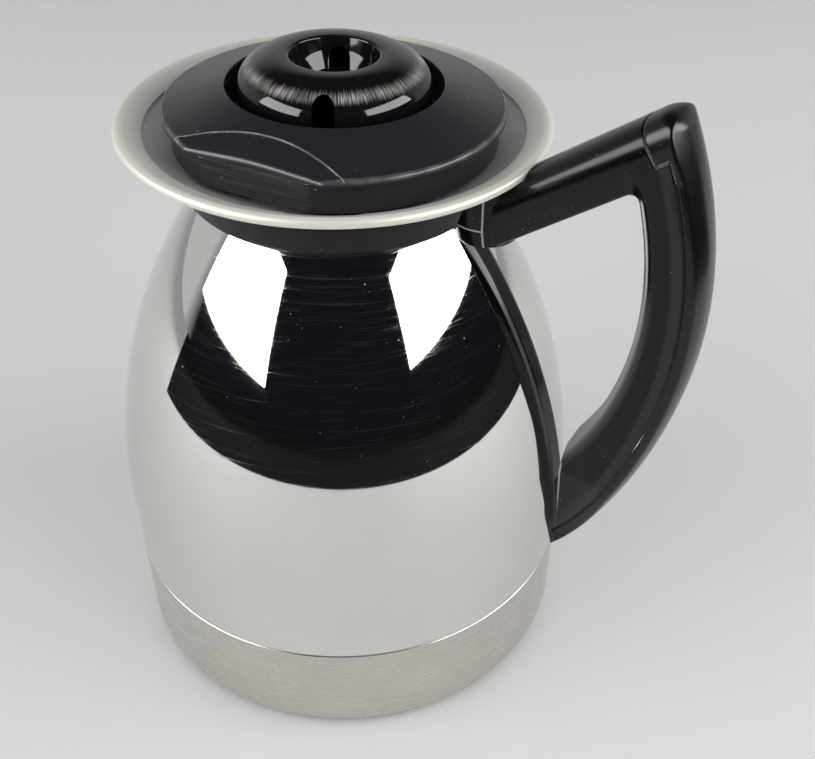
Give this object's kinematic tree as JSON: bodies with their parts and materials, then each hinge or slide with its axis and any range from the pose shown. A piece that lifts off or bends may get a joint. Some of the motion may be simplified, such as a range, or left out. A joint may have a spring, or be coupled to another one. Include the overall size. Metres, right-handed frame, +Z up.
{
  "type": "thermal coffee jug",
  "caption": "Double-walled steel coffee jug with a flared pouring rim, a black loop handle on one side and a brew-through twist-off lid with a domed top.",
  "frame": {"origin": "centre of the base, on the surface that the jug stands on", "axes": "+Z up along the axis of the body; +X towards the handle"},
  "size_m": [0.1785, 0.14, 0.199],
  "materials": {
    "polished_steel": "mirror-polished stainless steel with fine hairline scratches",
    "cup_steel": "satin stainless steel, brushed round the axis",
    "rim_steel": "satin bead-blasted stainless steel with a bright rolled lip",
    "inner_steel": "plain drawn stainless steel",
    "screw_steel": "plain steel",
    "collar_plastic": "matte black",
    "handle_plastic": "semi-gloss black",
    "cover_plastic": "semi-gloss black, lightly scuffed",
    "lid_plastic": "satin black with fine scratches",
    "dome_plastic": "glossy black with a worn ring of fine scratches",
    "plug_plastic": "matte black",
    "float_plastic": "pale grey",
    "silicone": "matte grey",
    "mat_rubber": "matte black"
  },
  "bodies": {
    "flask": {"outer_shell": "polished_steel", "base_cup": "cup_steel", "inner_liner": "inner_steel", "neck_ring": "inner_steel", "getter": "inner_steel", "tip_cap": "cup_steel", "base_mat": "mat_rubber", "pour_rim": "rim_steel", "rim_gasket": "silicone", "rim_carrier": "collar_plastic", "neck_collar": "collar_plastic", "retaining_ring": "inner_steel", "handle_frame": "handle_plastic", "handle_cover": "cover_plastic", "strip_stud": "inner_steel"},
    "seal": {"lid_seal": "silicone"},
    "lid": {"lid_cover": "lid_plastic", "lid_dome": "dome_plastic", "lid_plug": "plug_plastic", "plug_base": "plug_plastic", "brew_funnel": "plug_plastic", "cover_gasket": "silicone", "lid_screws": "screw_steel"},
    "float": {"valve_float": "float_plastic"}
  },
  "joints": [
    {"name": "lid_lift", "type": "slide", "parent": "flask", "child": "seal", "axis": [0, 0, 1], "range_m": [0, 0.07]},
    {"name": "lid_turn", "type": "hinge", "parent": "seal", "child": "lid", "pos_m": [0, 0, 0.17], "axis": [0, 0, 1], "range_deg": [-95, 0]},
    {"name": "float_rise", "type": "slide", "parent": "lid", "child": "float", "axis": [0, 0, 1], "range_m": [0, 0.004]}
  ]
}
